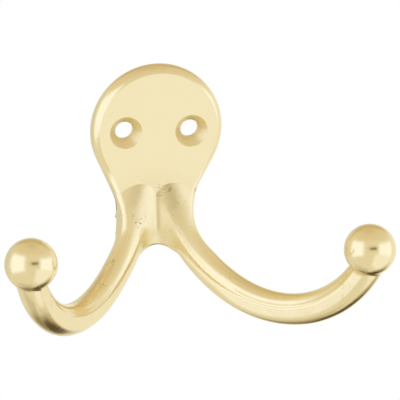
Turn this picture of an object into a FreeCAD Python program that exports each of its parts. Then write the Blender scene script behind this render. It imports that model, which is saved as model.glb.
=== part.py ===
# Double robe hook: one polished brass casting.
# Frame: X right, +Y into the wall, Z up. The origin is midway between the two
# screw holes, on the wall plane. Lengths are in millimetres, angles in degrees.
import FreeCAD, Part
import math
import os
import Sketcher

OUT = "parts"
os.makedirs(OUT, exist_ok=True)
doc = FreeCAD.newDocument("double_robe_hook")

# Driving dimensions
SIZES = {
    # back plate
    "plate_radius": 13.4,
    "plate_thickness": 2.9,
    "cast_edge_radius": 2.6,
    "face_ground_off": 0.35,
    # neck below the round of the plate
    "neck_half_width": 7.5,
    "neck_flank_radius": 8.0,
    "neck_waist_below_disc": 3.6,
    "neck_end_below_waist": 2.6,
    "neck_heel_radius": 2.4,
    # screw holes
    "hole_spacing": 13.4,
    "hole_diameter": 3.7,
    "countersink_diameter": 6.6,
    "countersink_angle": 82.0,
    # arm line: a straight root that runs into an arc, in a plane splayed from the middle
    "arm_splay": 38.5,
    "arm_plane_offset": 1.13,
    "arm_root_reach": 4.15,
    "arm_root_drop": 16.57,
    "arm_radius": 28.4,
    "arm_start_angle": 210.0,
    "arm_curl_angle": 274.0,
    "arm_end_angle": 331.0,
    "arm_end_curl": 1.1,
    # ball at the end of each arm
    "ball_radius": 5.08,
    "ball_angle": 335.0,
    "ball_inset": 2.3,
    # arm section: a round ridge on a flat-sided base
    "arm_half_height": 3.15,
    "flat_offset": 2.6,
    "flat_top": 1.15,
    "flat_bottom": 1.5,
    "ridge_side": 2.25,
    "ridge_foot": 1.35,
    "shoulder_out": 2.28,
    "shoulder_up": 1.76,
    "flank_out": 2.6,
    "flank_up": 0.9,
    # root section, where the ridge is as wide as half the neck
    "root_length": 8.0,
    "root_fade_angle": 15.0,
    "root_fade": 0.93,
    "root_crest": 3.26,
    "root_ridge_side": 3.55,
    "root_ridge_drop": 1.19,
    "root_flat_offset": 3.75,
    "root_flat_drop": 1.4,
    "root_flat_bottom": 2.6,
    "root_shoulder_out": 5.0,
    "root_shoulder_up": 4.48,
    "root_flank_out": 6.0,
    "root_flank_up": 1.9,
    "root_back_out": 1.6,
    "root_back_down": 4.2,
    # web between the arms
    "web_start_drop": 13.5,
    "web_below_crotch": 1.3,
    "web_lean": 17.5,
    "web_valley_angle": 30.0,
    "web_back_depth": 1.5,
    "web_overlap": 0.05,
    # round crotch under the web
    "crotch_radius": 5.0,
    "crotch_top_drop": 23.1,
    "crotch_bite": 0.02,
}

# The arm's sections: their places as shares of its arc, and their sizes. It starts small, inside the root.
ARM_STATIONS = {
    "arm_start": (0.0, 0.85),
    "arm_leaving_root": (0.1, 0.97),
    "arm_below_web": (0.22, 1.0),
    "arm_falling": (0.38, 1.0),
    "arm_lowest": (0.57, 1.0),
    "arm_rising": (0.78, 1.0),
    "arm_at_ball": (1.0, 1.0),
}
NEAR = 0.01

sheet = doc.addObject("Spreadsheet::Sheet", "Sizes")
for row, (alias, value) in enumerate(SIZES.items(), start=1):
    sheet.set(f"A{row}", alias)
    sheet.set(f"B{row}", str(value))
    sheet.setAlias(f"B{row}", alias)
doc.recompute()

body = doc.addObject("PartDesign::Body", "double_hook")
body.Label = "double_hook"


def size(alias):
    return float(sheet.get(alias))


def cell(alias):
    return f"Sizes.{alias}"


WAIST_DROP = f"({cell('plate_radius')} + {cell('neck_waist_below_disc')})"
NECK_END_DROP = f"({WAIST_DROP} + {cell('neck_end_below_waist')})"
FLANK_CENTRE_OUT = f"({cell('neck_half_width')} + {cell('neck_flank_radius')})"
FLANK_REACH = f"hypot({FLANK_CENTRE_OUT}; {WAIST_DROP})"
FLANK_LEAN = (
    f"(acos(({cell('plate_radius')} + {cell('neck_flank_radius')}) / {FLANK_REACH})"
    f" - atan2({WAIST_DROP}; {FLANK_CENTRE_OUT}))"
)
WEB_END_DROP = f"({cell('crotch_top_drop')} + {cell('web_below_crotch')})"
ARC_REACH = f"({cell('arm_root_reach')} - {cell('arm_radius')} * cos({cell('arm_start_angle')}))"
ARC_DROP = f"({cell('arm_root_drop')} + {cell('arm_radius')} * sin({cell('arm_start_angle')}))"


def origin_plane(role):
    return next(feature for feature in body.Origin.OriginFeatures if feature.Role == role)


def plane_sketch(name, role, placement=None):
    """A sketch on one of the body's own planes, moved by a placement expression."""
    sketch = body.newObject("Sketcher::SketchObject", name)
    sketch.AttachmentSupport = [(origin_plane(role), "")]
    sketch.MapMode = "FlatFace"
    if placement:
        sketch.setExpression("AttachmentOffset", placement)
    doc.recompute()
    return sketch


def shifted(across, up, out):
    """A placement expression that only moves."""
    return f"placement(vector({across}; {up}; {out}); rotation(vector(0; 0; 1); 0))"


def value_of(sketch, expression):
    result = sketch.evalExpression(expression)
    return float(getattr(result, "Value", result))


def drive(sketch, name, expression, kind, *elements):
    """Add a sketch dimension and bind it to an expression of the sheet."""
    index = sketch.addConstraint(Sketcher.Constraint(kind, *elements, value_of(sketch, expression)))
    sketch.renameConstraint(index, name)
    sketch.setExpression("Constraints." + name, expression)


def fix_point(sketch, element, corner, name, across, up):
    """Hold one point of a sketch at (across, up), each an expression."""
    drive(sketch, name + "_across", across, "DistanceX", -1, 1, element, corner)
    drive(sketch, name + "_up", up, "DistanceY", -1, 1, element, corner)


def join(sketch, first, first_end, second, second_end):
    sketch.addConstraint(Sketcher.Constraint("Coincident", first, first_end, second, second_end))


def vector(across, up):
    return FreeCAD.Vector(across, up, 0.0)


def line(sketch, start, end):
    return sketch.addGeometry(Part.LineSegment(vector(*start), vector(*end)))


def arc(sketch, start, middle, end):
    return sketch.addGeometry(Part.Arc(vector(*start), vector(*middle), vector(*end)))


def circle(sketch, across, up, radius):
    return sketch.addGeometry(Part.Circle(vector(across, up), FreeCAD.Vector(0, 0, 1), radius))


def flip(point):
    return (-point[0], point[1])


def pocket(name, sketch, length=None):
    """A cut through everything, or to a length given as an expression."""
    cut = body.newObject("PartDesign::Pocket", name)
    cut.Profile = sketch
    if length:
        cut.setExpression("Length", length)
    else:
        cut.Type = "ThroughAll"
        cut.Midplane = True
    doc.recompute()
    return cut


# Back plate: a disc that narrows through concave flanks into the neck
def plate_outline():
    sketch = plane_sketch("plate_outline", "XZ_Plane")
    radius = size("plate_radius")
    flank = size("neck_flank_radius")
    half_width = size("neck_half_width")
    centre_out = value_of(sketch, FLANK_CENTRE_OUT)
    waist_drop = value_of(sketch, WAIST_DROP)
    end_drop = value_of(sketch, NECK_END_DROP)
    lean = math.radians(value_of(sketch, FLANK_LEAN))

    def on_flank(angle):
        return (centre_out - flank * math.cos(angle), -waist_drop - flank * math.sin(angle))

    disc_point = (radius * math.cos(lean), radius * math.sin(lean))
    waist = (half_width, -waist_drop)
    foot = (half_width, -end_drop)
    disc = arc(sketch, disc_point, (0.0, radius), flip(disc_point))
    sides = []
    for side in (tuple, flip):
        slope = line(sketch, side(disc_point), side(on_flank(lean)))
        hollow = arc(sketch, side(on_flank(lean)), side(on_flank(lean / 2)), side(waist))
        drop = line(sketch, side(waist), side(foot))
        sides.append((slope, hollow, drop))
    end = line(sketch, foot, flip(foot))
    for (slope, hollow, drop), disc_end in zip(sides, (1, 2)):
        hollow_last = 3 - disc_end
        sketch.addConstraint(Sketcher.Constraint("Tangent", disc, disc_end, slope, 1))
        sketch.addConstraint(Sketcher.Constraint("Tangent", slope, 2, hollow, disc_end))
        sketch.addConstraint(Sketcher.Constraint("Tangent", hollow, hollow_last, drop, 1))
        sketch.addConstraint(Sketcher.Constraint("Vertical", drop))
        join(sketch, drop, 2, end, disc_end)
    right_hollow = sides[0][1]
    left_hollow = sides[1][1]
    sketch.addConstraint(Sketcher.Constraint("Coincident", disc, 3, -1, 1))
    sketch.addConstraint(Sketcher.Constraint("Equal", right_hollow, left_hollow))
    sketch.addConstraint(Sketcher.Constraint("Symmetric", right_hollow, 3, left_hollow, 3, -2))
    sketch.addConstraint(Sketcher.Constraint("Horizontal", end))
    drive(sketch, "disc_radius", cell("plate_radius"), "Radius", disc)
    drive(sketch, "flank_radius", cell("neck_flank_radius"), "Radius", right_hollow)
    drive(sketch, "waist_drop", WAIST_DROP, "DistanceY", right_hollow, 3, -1, 1)
    drive(sketch, "half_width", cell("neck_half_width"), "DistanceX", -1, 1, end, 1)
    drive(sketch, "end_drop", NECK_END_DROP, "DistanceY", end, 1, -1, 1)
    doc.recompute()
    return sketch


def edges_where(feature, test):
    """Names of a feature's edges whose bounding box passes a test."""
    numbered = enumerate(feature.Shape.Edges, start=1)
    return [f"Edge{number}" for number, edge in numbered if test(edge.BoundBox)]


def rounded(name, feature, edges, radius):
    fillet = body.newObject("PartDesign::Fillet", name)
    fillet.Base = (feature, edges)
    fillet.setExpression("Radius", cell(radius))
    doc.recompute()
    return fillet


def add_plate():
    outline = plate_outline()
    plate = body.newObject("PartDesign::Pad", "plate")
    plate.Profile = outline
    plate.setExpression("Length", f"{cell('plate_thickness')} + {cell('face_ground_off')}")
    doc.recompute()
    front = -size("plate_thickness") - size("face_ground_off")
    foot = -value_of(outline, NECK_END_DROP)

    def on_front_rim(box):
        return box.YMax - front < NEAR and box.ZMax - foot > NEAR

    def on_heel(box):
        return abs(box.ZMax - foot) < NEAR and abs(box.YMin) < NEAR

    edge = rounded("cast_edge", plate, edges_where(plate, on_front_rim), "cast_edge_radius")
    return rounded("neck_heel", edge, edges_where(edge, on_heel), "neck_heel_radius")


def add_ground_face():
    """Grinding the front flat leaves the crisp line round the face."""
    sketch = plane_sketch("ground_outline", "XZ_Plane", shifted("0", "0", cell("plate_thickness")))
    reach = f"({cell('plate_radius')} + {NECK_END_DROP})"
    rim = circle(sketch, 0.0, 0.0, value_of(sketch, reach))
    sketch.addConstraint(Sketcher.Constraint("Coincident", rim, 3, -1, 1))
    drive(sketch, "reach", reach, "Radius", rim)
    ground = pocket("ground_face", sketch, f"2 * {cell('face_ground_off')}")
    ground.Reversed = True
    doc.recompute()
    return ground


# Web between the arms, with a valley down its middle
def web_section(name, drop):
    """Valley line at the middle, rising forward to the inner side planes of the arms."""
    sketch = plane_sketch(name, "XY_Plane", shifted("0", "0", f"0 - {drop}"))
    splay = cell("arm_splay")
    rise = f"tan({cell('web_valley_angle')})"
    apex = f"(({cell('flat_offset')} - {cell('web_overlap')} - {cell('arm_plane_offset')}) / sin({splay}))"
    valley = f"({cell('plate_thickness')} + ({drop} - {cell('web_start_drop')}) * tan({cell('web_lean')}))"
    half = f"(({valley} - {apex}) / (1 / tan({splay}) - {rise}))"
    front = f"({valley} + {half} * {rise})"
    corners = (
        ("valley", "0", f"0 - {valley}"),
        ("right_front", half, f"0 - {front}"),
        ("right_back", half, f"0 - {cell('web_back_depth')}"),
        ("left_back", f"0 - {half}", f"0 - {cell('web_back_depth')}"),
        ("left_front", f"0 - {half}", f"0 - {front}"),
    )
    points = [(value_of(sketch, across), value_of(sketch, up)) for _, across, up in corners]
    sides = [line(sketch, start, end) for start, end in zip(points, points[1:] + points[:1])]
    for side, following in zip(sides, sides[1:] + sides[:1]):
        join(sketch, side, 2, following, 1)
    for side, (corner, across, up) in zip(sides, corners):
        fix_point(sketch, side, 1, corner, across, up)
    doc.recompute()
    return sketch


def add_web():
    top = web_section("web_top", cell("web_start_drop"))
    bottom = web_section("web_bottom", WEB_END_DROP)
    web = body.newObject("PartDesign::AdditiveLoft", "web")
    web.Profile = top
    web.Sections = [bottom]
    web.Ruled = True
    doc.recompute()
    return web


# Arm line and its sections
ARM_PLANE = (
    "placement(vector({o} * cos({s}); 0; 0 - {o} * sin({s})); rotation(vector(0; 1; 0); {s} - 90))"
).format(o=cell("arm_plane_offset"), s=cell("arm_splay"))
ACROSS_ARM = "rotation(vector(-1; 1; 1); 120)"


def station_placement(angle, radius, straight):
    """Plane across the arm: local x points outward from the middle, local y toward the arc's centre."""
    centre = f"placement(vector({ARC_REACH}; 0 - {ARC_DROP}; 0); rotation(vector(0; 0; 1); {angle}))"
    along = f"placement(vector({radius}; 0 - {straight}; 0); {ACROSS_ARM})"
    return f"{ARM_PLANE} * {centre} * {along}"


# Corners of a section, outward and up from the arm's line, as expressions
ARM_CORNERS = {
    "ridge_foot": ("0 - " + cell("ridge_side"), cell("ridge_foot")),
    "crest": ("0", cell("arm_half_height")),
    "shoulder": (cell("shoulder_out"), cell("shoulder_up")),
    "flank": (cell("flank_out"), cell("flank_up")),
    "back": ("0", "0 - " + cell("arm_half_height")),
    "flat_bottom": ("0 - " + cell("flat_offset"), "0 - " + cell("flat_bottom")),
    "flat_top": ("0 - " + cell("flat_offset"), cell("flat_top")),
}
ROOT_CORNERS = {
    "ridge_foot": ("0 - " + cell("root_ridge_side"), "0 - " + cell("root_ridge_drop")),
    "crest": ("0", cell("root_crest")),
    "shoulder": (cell("root_shoulder_out"), cell("root_shoulder_up")),
    "flank": (cell("root_flank_out"), cell("root_flank_up")),
    "back": (cell("root_back_out"), "0 - " + cell("root_back_down")),
    "flat_bottom": ("0 - " + cell("root_flat_offset"), "0 - " + cell("root_flat_bottom")),
    "flat_top": ("0 - " + cell("root_flat_offset"), "0 - " + cell("root_flat_drop")),
}


def arm_corners(share):
    """The arm's corners, drawn at a share of its full size."""
    return {
        name: (f"({across}) * {share}", f"({up}) * {share}")
        for name, (across, up) in ARM_CORNERS.items()
    }


def arm_section(name, placement, expressions):
    sketch = plane_sketch(name, "XZ_Plane", placement)
    at = {
        key: (value_of(sketch, across), value_of(sketch, up))
        for key, (across, up) in expressions.items()
    }
    ridge = arc(sketch, at["shoulder"], at["crest"], at["ridge_foot"])
    ledge = line(sketch, at["ridge_foot"], at["flat_top"])
    flat = line(sketch, at["flat_top"], at["flat_bottom"])
    base = arc(sketch, at["flat_bottom"], at["back"], at["flank"])
    flank = line(sketch, at["flank"], at["shoulder"])
    crest = sketch.addGeometry(Part.Point(vector(*at["crest"])), True)
    back = sketch.addGeometry(Part.Point(vector(*at["back"])), True)
    outline = (ridge, ledge, flat, base, flank)
    for side, following in zip(outline, outline[1:] + outline[:1]):
        join(sketch, side, 2, following, 1)
    held = {
        "ridge_foot": ledge,
        "flat_top": flat,
        "flat_bottom": base,
        "flank": flank,
        "shoulder": ridge,
        "crest": crest,
        "back": back,
    }
    for key, element in held.items():
        fix_point(sketch, element, 1, key, *expressions[key])
    sketch.addConstraint(Sketcher.Constraint("PointOnObject", crest, 1, ridge))
    sketch.addConstraint(Sketcher.Constraint("PointOnObject", back, 1, base))
    doc.recompute()
    return sketch


def add_root():
    """The neck's wide ridge: straight out of the plate, then fading into the arm."""
    start = cell("arm_start_angle")
    radius = cell("arm_radius")
    faded = f"({start} + {cell('root_fade_angle')})"
    sections = [
        arm_section("root_buried", station_placement(start, radius, cell("root_length")), ROOT_CORNERS),
        arm_section("root_end", station_placement(start, radius, "0"), ROOT_CORNERS),
        arm_section("root_faded", station_placement(faded, radius, "0"), arm_corners(cell("root_fade"))),
    ]
    root = body.newObject("PartDesign::AdditiveLoft", "right_root")
    root.Profile = sections[0]
    root.Sections = sections[1:]
    root.Ruled = True
    doc.recompute()
    return root


def add_arm():
    start = cell("arm_start_angle")
    end = cell("arm_end_angle")
    curl_start = cell("arm_curl_angle")
    radius = cell("arm_radius")
    sections = []
    for name, (share, scale) in ARM_STATIONS.items():
        angle = f"({start} + ({end} - {start}) * {share})"
        curl = f"max(0; ({angle} - {curl_start}) / ({end} - {curl_start}))"
        placement = station_placement(angle, f"({radius} - {cell('arm_end_curl')} * {curl} ^ 2)", "0")
        sections.append(arm_section(name, placement, arm_corners(scale)))
    arm = body.newObject("PartDesign::AdditiveLoft", "right_arm")
    arm.Profile = sections[0]
    arm.Sections = sections[1:]
    doc.recompute()
    return arm


def add_ball():
    centre_radius = f"({cell('arm_radius')} - {cell('ball_inset')})"
    placement = station_placement(cell("ball_angle"), centre_radius, "0")
    sketch = plane_sketch("ball_half", "XZ_Plane", placement)
    radius = size("ball_radius")
    half = arc(sketch, (0.0, -radius), (radius, 0.0), (0.0, radius))
    spine = line(sketch, (0.0, radius), (0.0, -radius))
    join(sketch, half, 2, spine, 1)
    join(sketch, half, 1, spine, 2)
    sketch.addConstraint(Sketcher.Constraint("Coincident", half, 3, -1, 1))
    sketch.addConstraint(Sketcher.Constraint("Vertical", spine))
    sketch.addConstraint(Sketcher.Constraint("PointOnObject", half, 1, -2))
    drive(sketch, "radius", cell("ball_radius"), "Radius", half)
    doc.recompute()
    ball = body.newObject("PartDesign::Revolution", "right_ball")
    ball.Profile = sketch
    ball.ReferenceAxis = (sketch, ["V_Axis"])
    ball.Angle = 360.0
    doc.recompute()
    return ball


def add_left_side(features):
    mirror = body.newObject("PartDesign::Mirrored", "left_side")
    mirror.Originals = features
    mirror.MirrorPlane = (origin_plane("YZ_Plane"), [""])
    body.Tip = mirror
    doc.recompute()
    return mirror


def add_neck_flanks():
    """The plate's outline runs on over the ridges, and its hollow into the arms."""
    sketch = plane_sketch("neck_flanks", "XZ_Plane")
    radius = cell("neck_flank_radius")
    disc = cell("plate_radius")
    corners = (
        ("slope_top", f"{disc} * cos({FLANK_LEAN})", f"{disc} * sin({FLANK_LEAN})"),
        (
            "hollow_top",
            f"{FLANK_CENTRE_OUT} - {radius} * cos({FLANK_LEAN})",
            f"0 - {WAIST_DROP} - {radius} * sin({FLANK_LEAN})",
        ),
        ("hollow_bottom", FLANK_CENTRE_OUT, f"0 - {WAIST_DROP} - {radius}"),
        ("outer_top", FLANK_CENTRE_OUT, f"{disc} * sin({FLANK_LEAN})"),
    )
    points = [(value_of(sketch, across), value_of(sketch, up)) for _, across, up in corners]
    waist = (size("neck_half_width"), -value_of(sketch, WAIST_DROP))
    for side, name, first, last in ((tuple, "right", 1, 2), (flip, "left", 2, 1)):
        slope_top, hollow_top, hollow_bottom, outer_top = [side(point) for point in points]
        slope = line(sketch, slope_top, hollow_top)
        hollow = arc(sketch, hollow_top, side(waist), hollow_bottom)
        outer = line(sketch, hollow_bottom, outer_top)
        top = line(sketch, outer_top, slope_top)
        join(sketch, slope, 2, hollow, first)
        join(sketch, hollow, last, outer, 1)
        join(sketch, outer, 2, top, 1)
        join(sketch, top, 2, slope, 1)
        drive(sketch, f"{name}_radius", radius, "Radius", hollow)
        sign = "" if name == "right" else "0 - "
        for element, (corner, across, up) in zip((slope, outer, top), (corners[0], corners[2], corners[3])):
            fix_point(sketch, element, 1, f"{name}_{corner}", f"{sign}({across})", up)
        fix_point(sketch, slope, 2, f"{name}_hollow_top", f"{sign}({corners[1][1]})", corners[1][2])
    doc.recompute()
    return pocket("neck_flank_cut", sketch)


def add_crotch():
    """A round-ended wedge cut down between the arms, which just skims their flat inner sides."""
    sketch = plane_sketch("crotch_round", "XY_Plane")
    splay = cell("arm_splay")
    radius = cell("crotch_radius")
    apex = f"(({cell('flat_offset')} - {cell('crotch_bite')} - {cell('arm_plane_offset')}) / sin({splay}))"
    centre = f"({apex} + {radius} / sin({splay}))"
    touch = (f"{radius} * cos({splay})", f"{radius} * sin({splay}) - {centre}")
    front = f"({centre} + {cell('arm_radius')})"
    corner = (f"({front} - {apex}) * tan({splay})", f"0 - {front}")
    right_touch, right_corner = [
        (value_of(sketch, across), value_of(sketch, up)) for across, up in (touch, corner)
    ]
    back = (0.0, value_of(sketch, f"{radius} - {centre}"))
    round_end = arc(sketch, flip(right_touch), back, right_touch)
    right = line(sketch, right_touch, right_corner)
    front_side = line(sketch, right_corner, flip(right_corner))
    left = line(sketch, flip(right_corner), flip(right_touch))
    join(sketch, right, 2, front_side, 1)
    join(sketch, front_side, 2, left, 1)
    sketch.addConstraint(Sketcher.Constraint("Tangent", round_end, 1, right, 1))
    sketch.addConstraint(Sketcher.Constraint("Tangent", left, 2, round_end, 2))
    sketch.addConstraint(Sketcher.Constraint("Symmetric", right, 2, left, 1, -2))
    drive(sketch, "radius", radius, "Radius", round_end)
    fix_point(sketch, right, 2, "corner", *corner)
    fix_point(sketch, round_end, 3, "centre", "0", f"0 - {centre}")
    doc.recompute()
    return pocket("crotch", sketch)


def add_crotch_arch():
    """The web's lower edge is an arch, seen from the front."""
    sketch = plane_sketch("crotch_arch", "XZ_Plane")
    centre = f"({cell('crotch_top_drop')} + {cell('crotch_radius')})"
    rim = circle(sketch, 0.0, -value_of(sketch, centre), size("crotch_radius"))
    sketch.addConstraint(Sketcher.Constraint("PointOnObject", rim, 3, -2))
    drive(sketch, "radius", cell("crotch_radius"), "Radius", rim)
    drive(sketch, "centre", centre, "DistanceY", rim, 3, -1, 1)
    doc.recompute()
    return pocket("arch", sketch)


def add_wall_trim():
    """Everything behind the wall plane is cut away, so that the back sits flat."""
    sketch = plane_sketch("wall_side", "XZ_Plane")
    reach = f"2 * {cell('arm_radius')}"
    rim = circle(sketch, 0.0, 0.0, value_of(sketch, reach))
    sketch.addConstraint(Sketcher.Constraint("Coincident", rim, 3, -1, 1))
    drive(sketch, "reach", reach, "Radius", rim)
    doc.recompute()
    return pocket("wall_trim", sketch, cell("arm_radius"))


def add_screw_holes():
    sketch = plane_sketch("hole_centres", "XZ_Plane", shifted("0", "0", cell("plate_thickness")))
    half = size("hole_spacing") / 2.0
    radius = size("hole_diameter") / 2.0
    right = circle(sketch, half, 0.0, radius)
    left = circle(sketch, -half, 0.0, radius)
    sketch.addConstraint(Sketcher.Constraint("PointOnObject", right, 3, -1))
    sketch.addConstraint(Sketcher.Constraint("Equal", right, left))
    sketch.addConstraint(Sketcher.Constraint("Symmetric", right, 3, left, 3, -2))
    drive(sketch, "half_spacing", f"{cell('hole_spacing')} / 2", "DistanceX", -1, 1, right, 3)
    drive(sketch, "radius", f"{cell('hole_diameter')} / 2", "Radius", right)
    doc.recompute()
    holes = body.newObject("PartDesign::Hole", "screw_holes")
    holes.Profile = sketch
    doc.recompute()
    holes.ThreadType = "None"
    holes.DepthType = "ThroughAll"
    holes.HoleCutType = "Countersink"
    holes.HoleCutCustomValues = True
    holes.setExpression("Diameter", cell("hole_diameter"))
    holes.setExpression("HoleCutDiameter", cell("countersink_diameter"))
    holes.setExpression("HoleCutCountersinkAngle", cell("countersink_angle"))
    doc.recompute()
    return holes


def checked(feature, grows):
    """Each feature must change the volume the right way."""
    before = feature.BaseFeature.Shape.Volume if feature.BaseFeature else 0.0
    after = feature.Shape.Volume
    print(f"{feature.Name}: {before:.1f} to {after:.1f} mm3")
    if (after > before) != grows:
        raise RuntimeError(feature.Name + " changed the volume the wrong way")
    return feature


checked(add_plate(), False)
checked(add_ground_face(), False)
checked(add_web(), True)
right_root = checked(add_root(), True)
right_arm = checked(add_arm(), True)
right_ball = checked(add_ball(), True)
checked(add_left_side([right_root, right_arm, right_ball]), True)
checked(add_neck_flanks(), False)
checked(add_crotch(), False)
checked(add_crotch_arch(), False)
checked(add_wall_trim(), False)
checked(add_screw_holes(), False)

for item in doc.Objects:
    if "Invalid" in item.State or "Error" in item.State:
        raise RuntimeError(f"{item.Name} failed: {item.State}")
shape = body.Shape
if shape.isNull() or not shape.isValid():
    raise RuntimeError(body.Label + " is not a valid solid")
shape.exportStep(f"{OUT}/{body.Label}.step")
print(f"{body.Label}: {len(shape.Solids)} solid, {shape.Volume:.1f} mm3")
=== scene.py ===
# %% [markdown]
# # A polished brass double robe hook
# The hook is one casting. It was poured, tumbled and buffed, and then the front of its plate was ground
# flat and two holes were drilled. The CAD model already holds its true form, so this lesson brings it in as
# a fixed frame, gives it the soft edges of a casting, its brass, and the light tent that a catalogue picture
# needs.

# %% Load the frame
import math

import bmesh
import bpy
from mathutils import Matrix, Vector, kdtree
from mathutils.bvhtree import BVHTree
from mathutils.interpolate import poly_3d_calc


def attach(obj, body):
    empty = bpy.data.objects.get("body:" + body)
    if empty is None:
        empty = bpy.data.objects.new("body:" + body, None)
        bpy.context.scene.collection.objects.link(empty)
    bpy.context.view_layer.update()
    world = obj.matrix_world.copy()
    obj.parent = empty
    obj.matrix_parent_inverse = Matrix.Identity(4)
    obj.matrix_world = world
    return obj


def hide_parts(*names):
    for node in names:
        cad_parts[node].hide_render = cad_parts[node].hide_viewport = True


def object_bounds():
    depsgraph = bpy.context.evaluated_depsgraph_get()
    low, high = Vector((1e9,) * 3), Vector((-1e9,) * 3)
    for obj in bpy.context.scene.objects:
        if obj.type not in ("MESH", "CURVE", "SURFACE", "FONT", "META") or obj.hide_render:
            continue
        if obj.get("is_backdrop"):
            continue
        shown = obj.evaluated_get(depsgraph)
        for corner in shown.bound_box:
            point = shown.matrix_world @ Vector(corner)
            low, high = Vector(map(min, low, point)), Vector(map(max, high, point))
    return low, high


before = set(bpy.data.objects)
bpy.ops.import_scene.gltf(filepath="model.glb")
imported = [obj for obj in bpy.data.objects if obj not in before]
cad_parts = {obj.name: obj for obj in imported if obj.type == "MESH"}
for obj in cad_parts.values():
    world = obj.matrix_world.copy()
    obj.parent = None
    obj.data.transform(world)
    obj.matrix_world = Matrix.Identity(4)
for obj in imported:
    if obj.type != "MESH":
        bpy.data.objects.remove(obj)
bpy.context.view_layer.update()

MM = 0.001
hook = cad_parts["double_hook"]

# %% [markdown]
# The camera stands in front of the hook, a little to its left and above it, with a long lens, as a product
# photographer would place it. A long lens keeps the two arms the same size. The camera's place was found by
# matching the outline of the hook, so its turn is kept as one rotation vector.

# %% Camera
CAMERA_TURN = Vector((0.3239, 0.2542, -0.0017))
CAMERA_SHIFT = Vector((-8.9073, 14.4788, -760.0)) * MM
SENSOR_WIDTH = 36.0
LENS = 342.0
FARTHEST_SEEN = 10.0

facing_wall = Matrix(((1, 0, 0), (0, 0, 1), (0, -1, 0)))
world_to_camera = Matrix.Rotation(CAMERA_TURN.length, 3, CAMERA_TURN.normalized()) @ facing_wall
camera_to_world = world_to_camera.transposed()
camera_place = -(camera_to_world @ CAMERA_SHIFT)

camera_data = bpy.data.cameras.new("front_camera")
camera_data.lens = LENS
camera_data.sensor_width = SENSOR_WIDTH
camera_data.clip_end = FARTHEST_SEEN
camera = bpy.data.objects.new("front_camera", camera_data)
bpy.context.scene.collection.objects.link(camera)
camera.matrix_world = Matrix.Translation(camera_place) @ camera_to_world.to_4x4()
bpy.context.scene.camera = camera
print("camera at", [round(c, 3) for c in camera_place])

# %% [markdown]
# ## Soft cast edges
# A CAD solid has perfectly sharp edges. A casting that was tumbled and buffed has none, except where a tool
# cut it afterwards: here the ground front face and the drilled holes. Beveling each edge would be hard,
# because the arms, the neck and the web run into each other. Instead a copy of the mesh is cut into small
# triangles, and each point moves to the average of the surface round it. So every edge and corner is rounded
# by a chosen reach, which is wide at the neck and nothing on the plate and the balls.

# %% How far the rounding reaches
WEB_ROUNDING = 1.2 * MM
NECK_SIDE_ROUNDING = 1.6 * MM
ARM_ROUNDING = 0.6 * MM
NECK_START = (-9.5 * MM, -12.5 * MM)
NECK_SIDE = (4.5 * MM, 7.0 * MM)
ARM_START = (9.0 * MM, 14.0 * MM)
BALL_END = (-14.2 * MM, -15.6 * MM)
FACE_LEVEL = -2.9 * MM
LEVEL_SLACK = 0.002 * MM


def ramp(value, start, end):
    """A smooth step from 0 at start to 1 at end, whichever is larger."""
    share = min(max((value - start) / (end - start), 0.0), 1.0)
    return share * share * (3.0 - 2.0 * share)


def rounding_reach(point):
    """Wide at the neck, narrow along the arms, and nothing on the plate or the balls."""
    neck = ramp(point.z, *NECK_START)
    side = ramp(abs(point.x), *NECK_SIDE)
    neck *= WEB_ROUNDING + side * (NECK_SIDE_ROUNDING - WEB_ROUNDING)
    arm = ramp(abs(point.x), *ARM_START)
    below_ball = ramp(point.z, *BALL_END)
    return (1.0 - arm) * neck + arm * below_ball * ARM_ROUNDING


def on_face(point):
    """On the ground front of the plate."""
    return abs(point.y - FACE_LEVEL) < LEVEL_SLACK


def on_wall(point):
    """On the flat back."""
    return abs(point.y) < LEVEL_SLACK


for place in ((0, 0, 0), (0, 0, -20), (20, 0, -30)):
    print("rounding at", place, "is", round(rounding_reach(Vector(place) * MM) / MM, 2), "mm")

# %% [markdown]
# The copy needs triangles smaller than the rounding. The CAD mesh is loose triangles, so they are joined
# first, and slivers are dissolved, because they would fold over. Then the long edges are halved in rounds.
# Only the part that will be rounded is cut up, so that the mesh stays light.

# %% A finer copy of the casting
MERGE = 0.001 * MM
THIN = 0.04 * MM
LONGEST_EDGE = 0.42 * MM
ROUNDS = 7


def cut_into_triangles():
    """Cut each face that has more than three sides."""
    bmesh.ops.triangulate(shape, faces=[face for face in shape.faces if len(face.verts) > 3])


casting = bpy.data.objects.new("cast_hook", hook.data.copy())
bpy.context.scene.collection.objects.link(casting)
shape = bmesh.new()
shape.from_mesh(casting.data)
bmesh.ops.remove_doubles(shape, verts=shape.verts, dist=MERGE)
bmesh.ops.dissolve_degenerate(shape, dist=THIN, edges=shape.edges)
cut_into_triangles()
for _ in range(ROUNDS):
    long_edges = []
    for edge in shape.edges:
        middle = (edge.verts[0].co + edge.verts[1].co) / 2
        if edge.calc_length() < LONGEST_EDGE or rounding_reach(middle) == 0:
            continue
        if not all(on_face(face.calc_center_median()) for face in edge.link_faces):
            long_edges.append(edge)
    if not long_edges:
        break
    bmesh.ops.subdivide_edges(shape, edges=long_edges, cuts=1, use_single_edge=True)
    cut_into_triangles()
print("triangles:", len(shape.faces), "open edges:", sum(not edge.is_manifold for edge in shape.edges))

# %% [markdown]
# The CAD mesh came with exact normals for its curved faces. The finer copy lies on the same surface, so each
# of its corners can look its normal up there. The look-up starts a little inside the triangle, so that it
# doesn't slip over a sharp edge. Slivers are left out of the search, because their normals can't be trusted.

# %% Exact normals from the CAD mesh
SLIVER_AREA = (0.01 * MM) ** 2
INSIDE = 0.1

cad_mesh = hook.data
cad_points = [vertex.co.copy() for vertex in cad_mesh.vertices]
sound = [polygon for polygon in cad_mesh.polygons if polygon.area > SLIVER_AREA]
cad_tree = BVHTree.FromPolygons(cad_points, [tuple(polygon.vertices) for polygon in sound])
cad_corner_normals = [normal.vector.copy() for normal in cad_mesh.corner_normals]


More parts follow.
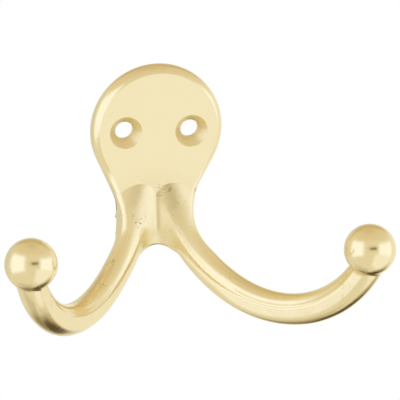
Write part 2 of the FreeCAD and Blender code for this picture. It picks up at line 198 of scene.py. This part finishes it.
def cad_normal(point):
    """The exact normal of the CAD surface nearest to a point."""
    place, _, index, _ = cad_tree.find_nearest(point)
    polygon = sound[index]
    weights = poly_3d_calc([cad_points[vertex] for vertex in polygon.vertices], place)
    normal = Vector()
    for weight, corner in zip(weights, polygon.loop_indices):
        normal += weight * cad_corner_normals[corner]
    return normal.normalized()


shape.verts.index_update()
kept_normal = shape.loops.layers.float_vector.new("kept_normal")
for face in shape.faces:
    middle = face.calc_center_median()
    for corner in face.loops:
        corner[kept_normal] = cad_normal(corner.vert.co.lerp(middle, INSIDE))
print("corners with a normal:", 3 * len(shape.faces))

# %% [markdown]
# Each point of the rounded part looks at the small faces within its reach. It moves along their average
# normal until it lies in their middle, which takes an edge down and fills a corner. Faces that look the
# other way are left out, so that a thin wall isn't drawn together. The same average normal then shades the
# rounded part. The ground face and the flat back keep their level, and nothing passes the wall.

# %% Small faces to average
def is_cut(face):
    """A face on the ground front or on the flat back."""
    middle = face.calc_center_median()
    return on_face(middle) or on_wall(middle)


samples = [face for face in shape.faces if rounding_reach(face.calc_center_median()) > 0 and not is_cut(face)]
sample_tree = kdtree.KDTree(len(samples))
for index, face in enumerate(samples):
    sample_tree.insert(face.calc_center_median(), index)
sample_tree.balance()
sample_areas = [face.calc_area() for face in samples]
sample_normals = [cad_normal(face.calc_center_median()) for face in samples]
print("faces to average:", len(samples))

# %% Rounding
LEAST_REACH = 0.2 * MM
FULL_REACH = 0.6 * MM
FAR_SIDE = -0.2
shape.normal_update()
moves = {}
rounded_normals = {}
for vert in shape.verts:
    reach = rounding_reach(vert.co)
    if reach < LEAST_REACH or on_wall(vert.co):
        continue
    mass = 0.0
    centre = Vector()
    normal = Vector()
    for place, index, distance in sample_tree.find_range(vert.co, reach):
        if sample_normals[index].dot(vert.normal) < FAR_SIDE:
            continue
        weight = sample_areas[index] * (1.0 - (distance / reach) ** 2)
        mass += weight
        centre += weight * place
        normal += weight * sample_normals[index]
    if mass > 0 and normal.length > 0:
        normal.normalize()
        share = ramp(reach, LEAST_REACH, FULL_REACH)
        rounded_normals[vert.index] = (share, normal)
        if not on_face(vert.co):
            moves[vert.index] = share * normal * normal.dot(centre / mass - vert.co)

for face in shape.faces:
    face.smooth = True
    if is_cut(face):
        continue
    for corner in face.loops:
        if corner.vert.index in rounded_normals:
            share, normal = rounded_normals[corner.vert.index]
            corner[kept_normal] = corner[kept_normal].lerp(normal, share).normalized()
for vert in shape.verts:
    if vert.index in moves:
        vert.co += moves[vert.index]
        vert.co.y = min(vert.co.y, 0.0)
print("largest move:", round(max(move.length for move in moves.values()) / MM, 3), "mm")

# %% [markdown]
# Where a low step was rounded away, its narrow wall is left folded over. Such a face no longer looks the way
# its kept normals do, so it is easy to find. Its shortest edge is collapsed, and the smooth operator then
# pulls the points near it apart. Many turns of this open the folds, and the surface stays closed. The smooth
# operator on the whole part would be simpler, but it would also wear away the lines of the ridges.

# %% Open the folds
UNFOLD_TURNS = 36
TURNS_BETWEEN_PRINTS = 5
HALF_WAY = 0.5
LEAST_AGREEMENT = 0.3


def is_free(vert):
    """A point that rounding may move."""
    return rounding_reach(vert.co) > LEAST_REACH and not on_face(vert.co) and not on_wall(vert.co)


def neighbours(vert):
    """A point and those that its edges lead to."""
    return {end for edge in vert.link_edges for end in edge.verts}


def folded_faces():
    """Faces that no longer look the way their kept normals do."""
    shape.normal_update()
    folded = []
    for face in shape.faces:
        kept = sum((corner[kept_normal] for corner in face.loops), Vector())
        if face.normal.dot(kept.normalized()) < LEAST_AGREEMENT and not is_cut(face):
            folded.append(face)
    return folded


def separate_short_edges(faces):
    """The shortest edge of each face, when it can be collapsed alone and leaves the surface closed."""
    touched = set()
    short = []
    for face in faces:
        edge = min(face.edges, key=lambda side: side.calc_length())
        first, second = (neighbours(vert) for vert in edge.verts)
        shared = (first & second) - set(edge.verts)
        apart = touched.isdisjoint(first | second)
        if len(shared) == 2 and apart and all(is_free(vert) for vert in edge.verts):
            touched |= first | second
            short.append(edge)
    return short


for turn in range(UNFOLD_TURNS):
    folded = folded_faces()
    if turn % TURNS_BETWEEN_PRINTS == 0:
        print("turn", turn, "folded:", len(folded))
    near_folds = {near for face in folded for vert in face.verts for near in neighbours(vert)}
    bmesh.ops.collapse(shape, edges=separate_short_edges(folded))
    movable = [vert for vert in near_folds if vert.is_valid and is_free(vert)]
    bmesh.ops.smooth_vert(
        shape, verts=movable, factor=HALF_WAY, use_axis_x=True, use_axis_y=True, use_axis_z=True
    )
print("folded:", len(folded_faces()), "open:", sum(not edge.is_manifold for edge in shape.edges))

# %% [markdown]
# The finished mesh takes the kept normals as its own, so the shading stays smooth although its triangles are
# flat. The casting then replaces the CAD node and rides on the same body.

# %% The dressed casting
shape.faces.index_update()
corner_normals = [corner[kept_normal].copy() for face in shape.faces for corner in face.loops]
shape.loops.layers.float_vector.remove(kept_normal)
shape.to_mesh(casting.data)
shape.free()
casting.data.normals_split_custom_set(corner_normals)
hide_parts("double_hook")
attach(casting, "root")
print("cast_hook:", len(casting.data.polygons), "triangles")

# %% [markdown]
# ## The brass
# Brass is a metal: its colour comes from its reflections, so the Principled shader is fully metallic and
# takes the brass colour as its base. A buffed casting isn't a perfect mirror. Its skin waves a little from
# the mould, buffing leaves a fine grain, and small pits stay where the wheel can't reach. Each of these is a
# node group with its own inputs, because the same effect can then be used on any casting.

# %% Node helpers
def new_group(name, inputs, outputs):
    """A node group with named sockets: inputs give their kind and value, outputs their kind."""
    group = bpy.data.node_groups.new(name, "ShaderNodeTree")
    for socket, (kind, value) in inputs.items():
        made = group.interface.new_socket(socket, in_out="INPUT", socket_type=kind)
        if value is not None:
            made.default_value = value
    for socket, kind in outputs.items():
        group.interface.new_socket(socket, in_out="OUTPUT", socket_type=kind)
    return group, group.nodes.new("NodeGroupInput"), group.nodes.new("NodeGroupOutput")


def math_node(tree, operation, first, second):
    """One sum: each side is a socket or a number."""
    node = tree.nodes.new("ShaderNodeMath")
    node.operation = operation
    for slot, value in zip(node.inputs, (first, second)):
        if isinstance(value, (int, float)):
            slot.default_value = value
        else:
            tree.links.new(value, slot)
    return node.outputs["Value"]


def noise_node(tree, place, size, detail=2.0):
    """Noise whose blobs are about as big as the given size, in metres."""
    node = tree.nodes.new("ShaderNodeTexNoise")
    node.inputs["Detail"].default_value = detail
    tree.links.new(place, node.inputs["Vector"])
    tree.links.new(math_node(tree, "DIVIDE", 1.0, size), node.inputs["Scale"])
    return node.outputs["Fac"]


# %% [markdown]
# The skin of a casting waves over a few millimetres, as the mould did, and carries a much finer grain. Two
# noises give the two sizes. Together they are a height for the bump, and the grain alone also varies the
# roughness.

# %% Cast skin
skin, skin_in, skin_out = new_group(
    "cast skin",
    {
        "Vector": ("NodeSocketVector", None),
        "Wave size": ("NodeSocketFloat", 0.003),
        "Grain size": ("NodeSocketFloat", 0.0003),
        "Grain share": ("NodeSocketFloat", 0.1),
    },
    {"Height": "NodeSocketFloat", "Mottle": "NodeSocketFloat"},
)
waves = noise_node(skin, skin_in.outputs["Vector"], skin_in.outputs["Wave size"])
grain = noise_node(skin, skin_in.outputs["Vector"], skin_in.outputs["Grain size"])
fine = math_node(skin, "MULTIPLY", grain, skin_in.outputs["Grain share"])
skin.links.new(math_node(skin, "ADD", waves, fine), skin_out.inputs["Height"])
skin.links.new(grain, skin_out.inputs["Mottle"])
print("group:", skin.name, "outputs", [socket.name for socket in skin_out.inputs if socket.name])

# %% [markdown]
# A pit is a place where a fine noise peaks. A coarser noise is added to it, so that the pits come in clouds
# and don't look sown. The amount lowers the level that counts as a peak.

# %% Pits
SELDOM = 0.98
COMMON = 0.15
PIT_DETAIL = 3.0
CLOUD_SIZE = 8.0
CLOUD_SHARE = 0.35
PIT_SOFTNESS = 0.06


def steps_between(tree, value, low, high, falling=False):
    """A smooth step of a value between two others, each a socket or a number."""
    node = tree.nodes.new("ShaderNodeMapRange")
    node.interpolation_type = "SMOOTHSTEP"
    node.inputs["To Min"].default_value = 1.0 if falling else 0.0
    node.inputs["To Max"].default_value = 0.0 if falling else 1.0
    tree.links.new(value, node.inputs["Value"])
    for socket, limit in (("From Min", low), ("From Max", high)):
        if isinstance(limit, (int, float)):
            node.inputs[socket].default_value = limit
        else:
            tree.links.new(limit, node.inputs[socket])
    return node.outputs["Result"]


pits, pits_in, pits_out = new_group(
    "casting pits",
    {
        "Vector": ("NodeSocketVector", None),
        "Pit size": ("NodeSocketFloat", 0.0005),
        "Amount": ("NodeSocketFloat", 0.3),
    },
    {"Mask": "NodeSocketFloat"},
)
specks = noise_node(pits, pits_in.outputs["Vector"], pits_in.outputs["Pit size"], PIT_DETAIL)
cloud_size = math_node(pits, "MULTIPLY", pits_in.outputs["Pit size"], CLOUD_SIZE)
clouds = noise_node(pits, pits_in.outputs["Vector"], cloud_size)
depth = math_node(pits, "ADD", specks, math_node(pits, "MULTIPLY", clouds, CLOUD_SHARE))
edge = math_node(pits, "SUBTRACT", SELDOM, math_node(pits, "MULTIPLY", pits_in.outputs["Amount"], COMMON))
soft_edge = math_node(pits, "ADD", edge, PIT_SOFTNESS)
pits.links.new(steps_between(pits, depth, edge, soft_edge), pits_out.inputs["Mask"])
print("group:", pits.name)

# %% [markdown]
# More pits are put in the web, at the root of a ridge, on the outer side of an arm and under the balls, where
# the wheel didn't reach. Where they crowd there, their brown is also painted shade of these corners and
# undersides. A mask in the hook's own coordinates says how near such a place is. The same mask finds the
# drilled holes, which stay satin, because no wheel goes into them.

# %% Near a place: pits, painted shade and drilled holes
reach_mask, reach_in, reach_out = new_group(
    "near a place",
    {
        "Vector": ("NodeSocketVector", None),
        "Centre": ("NodeSocketVector", (0.0, 0.0, 0.0)),
        "Near": ("NodeSocketFloat", 0.003),
        "Far": ("NodeSocketFloat", 0.010),
    },
    {"Mask": "NodeSocketFloat"},
)
gap = reach_mask.nodes.new("ShaderNodeVectorMath")
gap.operation = "DISTANCE"
reach_mask.links.new(reach_in.outputs["Vector"], gap.inputs[0])
reach_mask.links.new(reach_in.outputs["Centre"], gap.inputs[1])
near = steps_between(
    reach_mask, gap.outputs["Value"], reach_in.outputs["Near"], reach_in.outputs["Far"], falling=True
)
reach_mask.links.new(near, reach_out.inputs["Mask"])
print("group:", reach_mask.name)

# %% [markdown]
# Now the effects meet in one material. Pits turn the brass brown, dull it and sink into it. Where the places
# below crowd them, their brown is also painted shade. The neck is rougher than the arms, because it is cast
# and hardly buffed. The places were read off the hook itself.

# %% Where the pits and the painted shade are
NECK = ((0.0, -5.0, -17.0), 4.0, 13.0)
HOLES = (((-6.7, -1.45, 0.0), 3.55, 3.65), ((6.7, -1.45, 0.0), 3.55, 3.65))
EVERYWHERE = 0.45
# The dense brown pits at these places are partly real pits and partly painted shade in the neck, under the
# left arm and where the arms meet the balls.
PIT_AND_PAINTED_SHADE_PLACES = (
    # centre, near, far, all in millimetres, then how many pits, which also sets how much painted shade their
    # brown gives
    (*NECK, 0.8),
    ((1.7, -3.4, -12.8), 0.8, 3.4, 1.45),
    ((-11.4, -11.4, -24.3), 0.5, 3.5, 1.45),
    ((-14.7, -16.5, -26.7), 0.5, 3.0, 1.45),
    ((35.1, -43.7, -16.8), 0.5, 2.2, 1.6),
    ((-32.3, -43.8, -16.9), 0.5, 2.2, 1.5),
)


def node_material(name):
    """An empty node material with its output."""
    material = bpy.data.materials.new(name)
    material.use_nodes = True
    material.node_tree.nodes.clear()
    return material, material.node_tree.nodes.new("ShaderNodeOutputMaterial")


def place_group(tree, group, **values):
    """Put a group in a material and set its own values."""
    node = tree.nodes.new("ShaderNodeGroup")
    node.node_tree = group
    for name, value in values.items():
        node.inputs[name.replace("_", " ")].default_value = value
    return node


brass, output = node_material("polished_brass")
tree = brass.node_tree
place = tree.nodes.new("ShaderNodeTexCoord").outputs["Object"]
skin_node = place_group(tree, skin, Wave_size=3.5 * MM, Grain_size=0.35 * MM, Grain_share=0.05)
pit_and_shade_node = place_group(tree, pits, Pit_size=0.32 * MM)
for node in (skin_node, pit_and_shade_node):
    tree.links.new(place, node.inputs["Vector"])


def mask_near(centre, near, far):
    """1 near a place on the hook and 0 far from it, all given in millimetres."""
    centre_place = [distance * MM for distance in centre]
    node = place_group(tree, reach_mask, Centre=centre_place, Near=near * MM, Far=far * MM)
    tree.links.new(place, node.inputs["Vector"])
    return node.outputs["Mask"]


amount = EVERYWHERE
for centre, near, far, pit_and_shade_share in PIT_AND_PAINTED_SHADE_PLACES:
    pits_and_shade_here = math_node(tree, "MULTIPLY", mask_near(centre, near, far), pit_and_shade_share)
    amount = math_node(tree, "MAXIMUM", pits_and_shade_here, amount)
tree.links.new(amount, pit_and_shade_node.inputs["Amount"])
print("places with pits:", len(PIT_AND_PAINTED_SHADE_PLACES))

# %% Brass
BRASS = (0.91, 0.80, 0.51, 1.0)
PIT_AND_PAINTED_SHADE_BROWN = (0.44, 0.32, 0.14, 1.0)
BUFFED_ROUGHNESS = 0.17
GRAIN_ROUGHNESS = 0.08
CAST_ROUGHNESS = 0.16
DRILLED_ROUGHNESS = 0.22
SKIN_HEIGHT = 0.06 * MM
PIT_DULLNESS = 0.3
PIT_DEPTH = 0.5

shader = tree.nodes.new("ShaderNodeBsdfPrincipled")
shader.inputs["Metallic"].default_value = 1.0
# The pit brown is partly the pits' own colour and partly painted shade, where the places above crowd the
# pits.
colour = tree.nodes.new("ShaderNodeMix")
colour.data_type = "RGBA"
colour.inputs["A"].default_value = BRASS
colour.inputs["B"].default_value = PIT_AND_PAINTED_SHADE_BROWN
tree.links.new(pit_and_shade_node.outputs["Mask"], colour.inputs["Factor"])
tree.links.new(colour.outputs["Result"], shader.inputs["Base Color"])

grainy = math_node(tree, "MULTIPLY", skin_node.outputs["Mottle"], GRAIN_ROUGHNESS)
buffed = math_node(tree, "ADD", grainy, BUFFED_ROUGHNESS - GRAIN_ROUGHNESS / 2)
worn = math_node(tree, "ADD", buffed, math_node(tree, "MULTIPLY", mask_near(*NECK), CAST_ROUGHNESS))
for hole in HOLES:
    worn = math_node(tree, "ADD", worn, math_node(tree, "MULTIPLY", mask_near(*hole), DRILLED_ROUGHNESS))
dull = math_node(tree, "MULTIPLY", pit_and_shade_node.outputs["Mask"], PIT_DULLNESS)
tree.links.new(math_node(tree, "ADD", worn, dull), shader.inputs["Roughness"])

bump = tree.nodes.new("ShaderNodeBump")
bump.inputs["Distance"].default_value = SKIN_HEIGHT
sunk = math_node(tree, "MULTIPLY", pit_and_shade_node.outputs["Mask"], PIT_DEPTH)
tree.links.new(math_node(tree, "SUBTRACT", skin_node.outputs["Height"], sunk), bump.inputs["Height"])
tree.links.new(bump.outputs["Normal"], shader.inputs["Normal"])
tree.links.new(shader.outputs["BSDF"], output.inputs["Surface"])
for piece in (hook, casting):
    piece.data.materials.clear()
    piece.data.materials.append(brass)
print("brass nodes:", len(tree.nodes))

# %% [markdown]
# ## The room
# The background is white because the camera sees the world as white. Mirror reflections and clear glass see
# that white too. Scattered light gets a plain, slightly lower level.

# %% World
WHITE = (1.0, 1.0, 1.0, 1.0)
PLAIN_LIGHT = 0.8

world = bpy.data.worlds.new("white_room")
bpy.context.scene.world = world
world.use_nodes = True
room = world.node_tree
background = room.nodes["Background"]
background.inputs["Color"].default_value = WHITE


def seen_directly(tree):
    """1 for the camera, for mirror reflections and for clear glass, 0 for scattered light."""
    path = tree.nodes.new("ShaderNodeLightPath")
    mirrored = math_node(tree, "MAXIMUM", path.outputs["Is Camera Ray"], path.outputs["Is Glossy Ray"])
    return math_node(tree, "MAXIMUM", mirrored, path.outputs["Is Transmission Ray"])


strength = math_node(room, "MULTIPLY", seen_directly(room), 1.0 - PLAIN_LIGHT)
room.links.new(math_node(room, "ADD", strength, PLAIN_LIGHT), background.inputs["Strength"])
print("world:", world.name, "plain light", PLAIN_LIGHT)

# %% [markdown]
# The floor is a plain pale plane. The camera and mirror reflections see it as white, as they see the world,
# so the hook seems to hang in an empty white picture. It lies below the tent, so that it doesn't cut it.

# %% Floor
FLOOR_DROP = 0.65
FLOOR_HALF = 3.0
FLOOR_GREY = (0.85, 0.85, 0.85, 1.0)

floor_material, floor_output = node_material("pale_floor")
floor_tree = floor_material.node_tree
plain = floor_tree.nodes.new("ShaderNodeBsdfDiffuse")
plain.inputs["Color"].default_value = FLOOR_GREY
white = floor_tree.nodes.new("ShaderNodeEmission")
mixer = floor_tree.nodes.new("ShaderNodeMixShader")
floor_tree.links.new(seen_directly(floor_tree), mixer.inputs["Fac"])
floor_tree.links.new(plain.outputs["BSDF"], mixer.inputs[1])
floor_tree.links.new(white.outputs["Emission"], mixer.inputs[2])
floor_tree.links.new(mixer.outputs["Shader"], floor_output.inputs["Surface"])

floor_shape = bmesh.new()
bmesh.ops.create_grid(floor_shape, x_segments=1, y_segments=1, size=FLOOR_HALF)
bmesh.ops.translate(floor_shape, verts=floor_shape.verts, vec=(0.0, 0.0, -FLOOR_DROP))
floor_mesh = bpy.data.meshes.new("floor")
floor_shape.to_mesh(floor_mesh)
floor_shape.free()
floor = bpy.data.objects.new("floor", floor_mesh)
bpy.context.scene.collection.objects.link(floor)
floor_mesh.materials.append(floor_material)
floor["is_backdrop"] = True
print("floor at", -FLOOR_DROP)

# %% [markdown]
# ## The light tent
# Polished metal shows its surroundings, so most of its look is the tent that it was photographed in. The
# tent is a dome round the hook that only mirror reflections can see. Its object is turned like the camera,
# so a place on it is simply an angle across and an angle up, seen from the hook. Lamps could light the hook
# too, but their reflections would be hard spots. A part of the tent is a soft-edged window of light, and one
# group makes them all.

# %% Tent window
window, window_in, window_out = new_group(
    "tent window",
    {
        "Across": ("NodeSocketFloat", 0.0),
        "Up": ("NodeSocketFloat", 0.0),
        "Left": ("NodeSocketFloat", -10.0),
        "Right": ("NodeSocketFloat", 10.0),
        "Bottom": ("NodeSocketFloat", -10.0),
        "Top": ("NodeSocketFloat", 10.0),
        "Softness": ("NodeSocketFloat", 5.0),
    },
    {"Mask": "NodeSocketFloat"},
)
sides = []
for angle, low_side, high_side in (("Across", "Left", "Right"), ("Up", "Bottom", "Top")):
    for name, falling in ((low_side, False), (high_side, True)):
        limit = window_in.outputs[name]
        softness = window_in.outputs["Softness"]
        low = math_node(window, "SUBTRACT", limit, softness)
        high = math_node(window, "ADD", limit, softness)
        sides.append(steps_between(window, window_in.outputs[angle], low, high, falling))
across_mask = math_node(window, "MULTIPLY", sides[0], sides[1])
up_mask = math_node(window, "MULTIPLY", sides[2], sides[3])
window.links.new(math_node(window, "MULTIPLY", across_mask, up_mask), window_out.inputs["Mask"])
print("group:", window.name)

# %% [markdown]
# The tent has a bright soft window on each side, a dimmer warm ceiling, a warm table, a dark gap for the
# camera, and a dark corner low down behind the hook. Each part is laid over those before it. Their places
# and colours are what the brass of the real hook mirrors.

# %% Parts of the tent
TABLE = (0.84, 0.79, 0.66)
TENT_PARTS = (
    # colour, left, right, bottom, top, softness, all in degrees
    ((0.80, 0.71, 0.53), -200, 200, 36, 120, 14),
    ((0.70, 0.58, 0.37), -200, 200, 72, 120, 20),
    ((0.64, 0.52, 0.32), -220, -130, 30, 70, 14),
    ((0.64, 0.52, 0.32), 130, 220, 30, 70, 14),
    ((0.74, 0.71, 0.61), -220, -112, -20, 28, 14),
    ((0.95, 0.92, 0.84), 112, 220, -34, 24, 12),
    ((1.12, 1.16, 1.28), 40, 106, -30, 20, 9),
    ((1.00, 1.00, 0.98), 22, 112, -74, -20, 8),
    ((1.12, 1.16, 1.28), -92, -26, -28, 31, 9),
    ((0.76, 0.68, 0.50), -10, 33, -9, 12, 5),
    ((0.13, 0.10, 0.05), 2, 30, -1, 7, 4),
    ((0.50, 0.42, 0.26), 120, 220, -66, -34, 12),
    ((0.10, 0.075, 0.035), 138, 220, -66, -36, 9),
    ((0.67, 0.62, 0.50), -220, -100, -100, -50, 12),
    ((0.30, 0.24, 0.13), -220, -150, -66, -34, 12),
)
print("tent parts:", len(TENT_PARTS))

# %% Angles across and up
dome_material, dome_output = node_material("tent_cloth")
dome_tree = dome_material.node_tree
position = dome_tree.nodes.new("ShaderNodeTexCoord").outputs["Object"]
direction = dome_tree.nodes.new("ShaderNodeVectorMath")
direction.operation = "NORMALIZE"
dome_tree.links.new(position, direction.inputs[0])
axes = dome_tree.nodes.new("ShaderNodeSeparateXYZ")
dome_tree.links.new(direction.outputs["Vector"], axes.inputs["Vector"])
turn = math_node(dome_tree, "ARCTAN2", axes.outputs["X"], axes.outputs["Z"])
across = math_node(dome_tree, "MULTIPLY", turn, math.degrees(1.0))
rise = math_node(dome_tree, "ARCSINE", axes.outputs["Y"], 0.0)
up = math_node(dome_tree, "MULTIPLY", rise, math.degrees(1.0))
print("angles in degrees, from the camera's side of the hook")

# %% Tent cloth
cloth = None
for part_colour, left, right, bottom, top, softness in TENT_PARTS:
    part = place_group(dome_tree, window, Left=left, Right=right, Bottom=bottom, Top=top, Softness=softness)
    dome_tree.links.new(across, part.inputs["Across"])
    dome_tree.links.new(up, part.inputs["Up"])
    mix = dome_tree.nodes.new("ShaderNodeMix")
    mix.data_type = "RGBA"
    mix.inputs["A"].default_value = (*TABLE, 1.0)
    mix.inputs["B"].default_value = (*part_colour, 1.0)
    dome_tree.links.new(part.outputs["Mask"], mix.inputs["Factor"])
    if cloth:
        dome_tree.links.new(cloth, mix.inputs["A"])
    cloth = mix.outputs["Result"]
glow = dome_tree.nodes.new("ShaderNodeEmission")
dome_tree.links.new(cloth, glow.inputs["Color"])
dome_tree.links.new(glow.outputs["Emission"], dome_output.inputs["Surface"])
print("cloth nodes:", len(dome_tree.nodes))

# %% Dome
TENT_RADIUS = 0.6
TENT_FINENESS = 4

dome_shape = bmesh.new()
bmesh.ops.create_icosphere(dome_shape, subdivisions=TENT_FINENESS, radius=TENT_RADIUS)
dome_mesh = bpy.data.meshes.new("light_tent")
dome_shape.to_mesh(dome_mesh)
dome_shape.free()
dome = bpy.data.objects.new("light_tent", dome_mesh)
bpy.context.scene.collection.objects.link(dome)
dome.matrix_world = camera_to_world.to_4x4()
dome_mesh.materials.append(dome_material)
dome.visible_camera = False
dome.visible_diffuse = False
dome.visible_shadow = False
dome.visible_transmission = False
dome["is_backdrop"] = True
print("dome radius:", TENT_RADIUS)

# %% [markdown]
# The Standard view shows each colour as it is written.

# %% View
bpy.context.scene.view_settings.view_transform = "Standard"
print("view:", bpy.context.scene.view_settings.view_transform)

# %% Finish
low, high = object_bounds()
print("visual from", [round(c, 4) for c in low], "to", [round(c, 4) for c in high])
